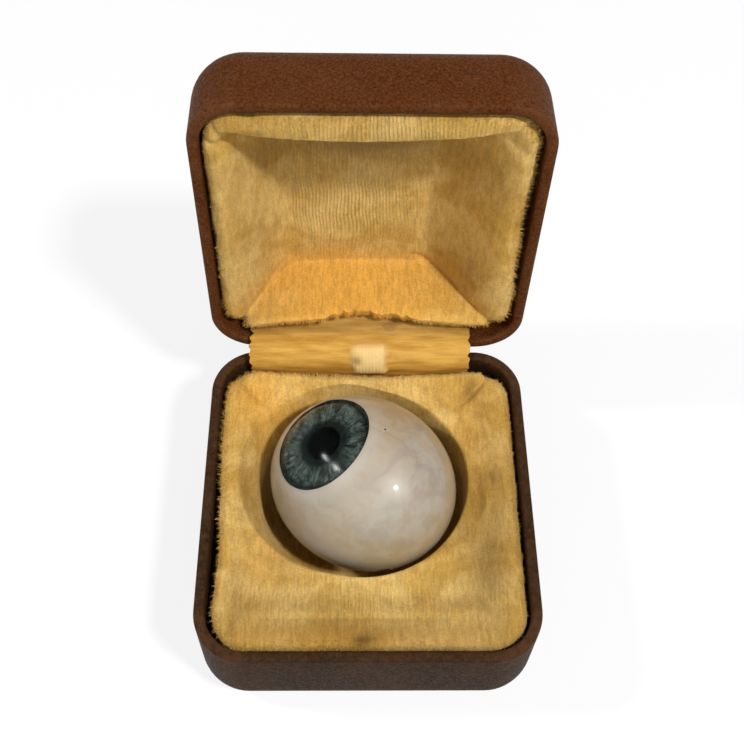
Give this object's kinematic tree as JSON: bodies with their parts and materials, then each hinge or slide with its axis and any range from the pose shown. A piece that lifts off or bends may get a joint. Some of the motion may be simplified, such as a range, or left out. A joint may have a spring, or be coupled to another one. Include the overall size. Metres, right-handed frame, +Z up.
{
  "type": "prosthetic glass eye",
  "caption": "Blown glass artificial eye resting in the velvet socket of a small hinged, leatherette-covered keeping case, its lid standing open.",
  "frame": {"origin": "middle of the case's flat underside", "axes": "+Z up, out of the open case; +X to the right across the case; -Y towards the side that opens, the hinge being along the +Y edge"},
  "size_m": [0.04, 0.0556, 0.0572],
  "materials": {
    "leatherette": "aged brown leatherette, softly glossy, worn greyer along the edges",
    "shell_steel": "dull pressed sheet",
    "card": "plain strawboard",
    "wadding": "loose cotton wadding",
    "velvet": "ribbed cream-gold cotton velvet, stained by age",
    "sateen": "cream sateen, streaked along its width",
    "hinge_brass": "dull brass",
    "spring_steel": "blued flat spring",
    "opal_glass": "glossy opal glass, greyish cream with faint veins",
    "iris_glass": "slate blue-green glass with radial streaks",
    "pupil_glass": "black glass",
    "limbus_glass": "dark grey-blue glass",
    "crystal": "clear crystal, polished",
    "seal_glass": "brown fused glass"
  },
  "bodies": {
    "case_base": {"base_shell": "shell_steel", "base_cover": "leatherette", "base_card": "card", "base_wadding": "wadding", "base_velvet": "velvet", "hinge_leaf_base": "hinge_brass", "hinge_rivets_base": "hinge_brass", "hinge_pin": "spring_steel", "snap_spring": "spring_steel", "spring_rivet": "hinge_brass", "hinge_strip": "sateen", "spine_strip": "leatherette"},
    "lid": {"lid_shell": "shell_steel", "lid_cover": "leatherette", "lid_card": "card", "lid_wadding": "wadding", "lid_velvet": "velvet", "hinge_leaf_lid": "hinge_brass", "hinge_rivets_lid": "hinge_brass"},
    "eye": {"eye_sclera": "opal_glass", "eye_seal": "seal_glass", "eye_iris": "iris_glass", "eye_pupil": "pupil_glass", "eye_limbus": "limbus_glass", "eye_cornea": "crystal"}
  },
  "joints": [
    {"name": "lid_hinge", "type": "hinge", "parent": "case_base", "child": "lid", "pos_m": [0, 0.02085, 0.01565], "axis": [1, 0, 0], "range_deg": [0, 93], "deforming": ["hinge_strip", "spine_strip", "snap_spring"]},
    {"name": "eye_turn", "type": "hinge", "parent": "case_base", "child": "eye", "pos_m": [-0.00065, 0.00275, 0.01285], "axis": [0, 0, 1], "continuous": true}
  ]
}
